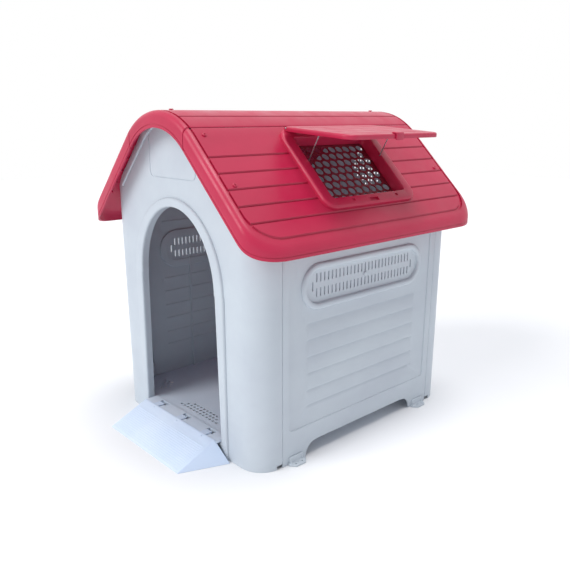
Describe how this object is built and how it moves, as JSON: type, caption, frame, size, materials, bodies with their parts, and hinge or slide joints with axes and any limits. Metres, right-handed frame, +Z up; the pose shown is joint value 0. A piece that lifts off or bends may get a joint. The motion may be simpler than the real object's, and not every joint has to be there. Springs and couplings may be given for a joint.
{
  "type": "plastic dog kennel with a pitched roof",
  "caption": "Knock-down moulded kennel: gabled house with an arched doorway, pitched plank roof, hinged skylight lid over a grille, vented sides, anchor feet and a hooked-on entrance ramp.",
  "frame": {"origin": "centre of the whole object's footprint, on the ground", "axes": "+Z up; -Y is the doorway side, +Y the rear; +X is the side whose roof slope has the skylight"},
  "size_m": [0.8072, 0.963, 0.8969],
  "materials": {
    "wall_plastic": "moulded polypropylene, cool grey-white, satin",
    "floor_plastic": "moulded polypropylene, cool grey-white, matt",
    "roof_plastic": "moulded polypropylene, crimson, satin",
    "ramp_plastic": "moulded polypropylene, pale blue-white, ribbed",
    "steel": "zinc-plated steel wire and screws"
  },
  "bodies": {
    "house": {"front_wall": "wall_plastic", "rear_wall": "wall_plastic", "side_wall_right": "wall_plastic", "side_wall_left": "wall_plastic", "floor_pan": "floor_plastic", "ridge_cap": "roof_plastic", "roof_panel_left": "roof_plastic", "roof_panel_right": "roof_plastic", "skylight_grille": "roof_plastic", "lid_hinge_rod": "steel", "anchor_foot_front_right": "wall_plastic", "anchor_foot_front_left": "wall_plastic", "anchor_foot_rear_right": "wall_plastic", "anchor_foot_rear_left": "wall_plastic", "wall_bolt_front_right_lower": "steel", "wall_bolt_front_right_upper": "steel", "wall_bolt_rear_right_lower": "steel", "wall_bolt_rear_right_upper": "steel", "wall_bolt_front_left_lower": "steel", "wall_bolt_front_left_upper": "steel", "wall_bolt_rear_left_lower": "steel", "wall_bolt_rear_left_upper": "steel", "roof_screw_right_front_upper": "roof_plastic", "roof_screw_right_front_lower": "roof_plastic", "roof_screw_right_rear_upper": "roof_plastic", "roof_screw_right_rear_lower": "roof_plastic", "roof_screw_left_front_upper": "roof_plastic", "roof_screw_left_front_lower": "roof_plastic", "roof_screw_left_rear_upper": "roof_plastic", "roof_screw_left_rear_lower": "roof_plastic", "roof_screw_ridge_front": "roof_plastic", "roof_screw_ridge_rear": "roof_plastic"},
    "lid": {"skylight_lid": "roof_plastic"},
    "latch": {"lid_latch": "roof_plastic"},
    "stay_front": {"lid_stay_front": "steel"},
    "stay_rear": {"lid_stay_rear": "steel"},
    "ramp": {"entrance_ramp": "ramp_plastic"}
  },
  "joints": [
    {"name": "skylight_lid_hinge", "type": "hinge", "parent": "house", "child": "lid", "pos_m": [0.15393, 0.0465, 0.84833], "axis": [0, 1, 0], "range_deg": [0, 40]},
    {"name": "lid_latch_flex", "type": "hinge", "parent": "lid", "child": "latch", "pos_m": [0.38792, 0.0665, 0.83957], "axis": [0, 1, 0], "range_deg": [-30, 0], "stiffness_Nm_per_rad": 0.1},
    {"name": "front_stay_fold", "type": "hinge", "parent": "lid", "child": "stay_front", "pos_m": [0.26157, -0.0745, 0.83942], "axis": [0, 1, 0], "range_deg": [0, 65]},
    {"name": "rear_stay_fold", "type": "hinge", "parent": "lid", "child": "stay_rear", "pos_m": [0.26157, 0.2075, 0.83942], "axis": [0, 1, 0], "range_deg": [0, 65]},
    {"name": "ramp_hook_hinge", "type": "hinge", "parent": "house", "child": "ramp", "pos_m": [-0.00564, -0.3405, 0.0508], "axis": [-1, 0, 0], "range_deg": [0, 70]}
  ],
  "couplings": [
    {"joint": "front_stay_fold", "follows": "skylight_lid_hinge", "ratio": 1.625},
    {"joint": "rear_stay_fold", "follows": "skylight_lid_hinge", "ratio": 1.625}
  ]
}
